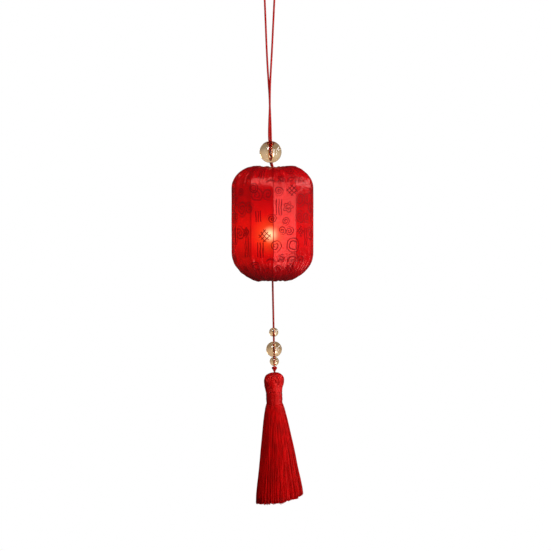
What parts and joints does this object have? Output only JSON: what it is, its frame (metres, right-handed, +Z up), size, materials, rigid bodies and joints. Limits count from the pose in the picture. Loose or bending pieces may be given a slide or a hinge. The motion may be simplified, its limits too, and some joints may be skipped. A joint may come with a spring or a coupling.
{
  "type": "hanging satin lantern",
  "caption": "Small ribbed satin lantern on a looped cord, with a glass bead above it, an LED lamp inside and a beaded cord with a tassel below it.",
  "frame": {"origin": "underside of the hanging loop's bight, where a hook or a finger carries the lantern", "axes": "+Z up along the hanging loop, -Y out of the lantern's front rib, +X to the right as seen from the front"},
  "size_m": [0.0521, 0.0517, 0.3378],
  "materials": {
    "satin": "red satin with a printed pattern in darker red",
    "cord": "twisted silk cord",
    "tassel_thread": "glossy rayon thread",
    "bead_glass": "polished clear glass with a champagne tint",
    "rib_wire": "drawn spring wire",
    "brass": "polished",
    "nickel": "satin nickel",
    "white_plastic": "moulded",
    "red_plastic": "moulded",
    "frosted_plastic": "frosted diffuser",
    "lit_led": "lit warm white",
    "board": "solder mask"
  },
  "bodies": {
    "loop": {"hanging_loop": "cord"},
    "top_bead": {"top_bead": "bead_glass"},
    "cord_end": {"upper_knot": "cord"},
    "lantern": {"satin_cover": "satin", "rib_01": "rib_wire", "rib_02": "rib_wire", "rib_03": "rib_wire", "rib_04": "rib_wire", "rib_05": "rib_wire", "rib_06": "rib_wire", "rib_07": "rib_wire", "rib_08": "rib_wire", "rib_09": "rib_wire", "rib_10": "rib_wire", "rib_11": "rib_wire", "upper_hub": "white_plastic", "upper_hub_plate": "white_plastic", "upper_eyelet": "brass", "lower_hub": "white_plastic", "lower_hub_plate": "white_plastic"},
    "lamp": {"lamp_plug": "red_plastic", "tact_switch": "nickel", "circuit_board": "board", "contact_spring": "brass", "button_cell_1": "nickel", "button_cell_2": "nickel", "button_cell_3": "nickel", "battery_tube": "white_plastic", "led": "lit_led", "led_lead_plus": "nickel", "led_lead_minus": "nickel", "frosted_dome": "frosted_plastic"},
    "button": {"switch_button": "white_plastic"},
    "pendant_end": {"lower_knot": "cord"},
    "pendant": {"lower_cord": "cord", "tassel_knot": "cord"},
    "lower_small_bead": {"lower_small_bead": "bead_glass"},
    "large_bead": {"large_bead": "bead_glass"},
    "upper_small_bead": {"upper_small_bead": "bead_glass"},
    "tassel": {"tassel_head": "tassel_thread", "tassel_core": "white_plastic", "tassel_binding": "tassel_thread", "tassel_skirt": "tassel_thread"}
  },
  "joints": [
    {"name": "top_bead_slide", "type": "slide", "parent": "loop", "child": "top_bead", "axis": [0, 0, 1], "range_m": [0, 0.03]},
    {"name": "lantern_swing", "type": "hinge", "parent": "loop", "child": "cord_end", "pos_m": [0.00195, 0, -0.12305], "axis": [0, 1, 0], "range_deg": [-25, 25]},
    {"name": "lantern_turn", "type": "hinge", "parent": "cord_end", "child": "lantern", "pos_m": [0.00195, 0, -0.12305], "axis": [0, 0, 1], "continuous": true},
    {"name": "lamp_pull", "type": "slide", "parent": "lantern", "child": "lamp", "axis": [0, 0, -1], "range_m": [0, 0.036]},
    {"name": "switch_press", "type": "slide", "parent": "lamp", "child": "button", "axis": [0, 0, 1], "range_m": [0, 0.0005], "stiffness_N_per_m": 300, "springref_m": -0.0005},
    {"name": "pendant_turn", "type": "hinge", "parent": "lamp", "child": "pendant_end", "pos_m": [0.00195, 0, -0.19395], "axis": [0, 0, 1], "continuous": true},
    {"name": "pendant_swing", "type": "hinge", "parent": "pendant_end", "child": "pendant", "pos_m": [0.00195, 0, -0.19395], "axis": [0, 1, 0], "range_deg": [-60, 60]},
    {"name": "lower_small_bead_slide", "type": "slide", "parent": "pendant", "child": "lower_small_bead", "axis": [-0.0209, 0, 0.9998], "range_m": [0, 0.008]},
    {"name": "large_bead_slide", "type": "slide", "parent": "lower_small_bead", "child": "large_bead", "axis": [-0.0209, 0, 0.9998], "range_m": [0, 0.008]},
    {"name": "upper_small_bead_slide", "type": "slide", "parent": "large_bead", "child": "upper_small_bead", "axis": [-0.0209, 0, 0.9998], "range_m": [-0.003, 0.008]},
    {"name": "tassel_swing", "type": "hinge", "parent": "pendant", "child": "tassel", "pos_m": [0.00316, 0, -0.25154], "axis": [0, 1, 0], "range_deg": [-45, 45]}
  ]
}
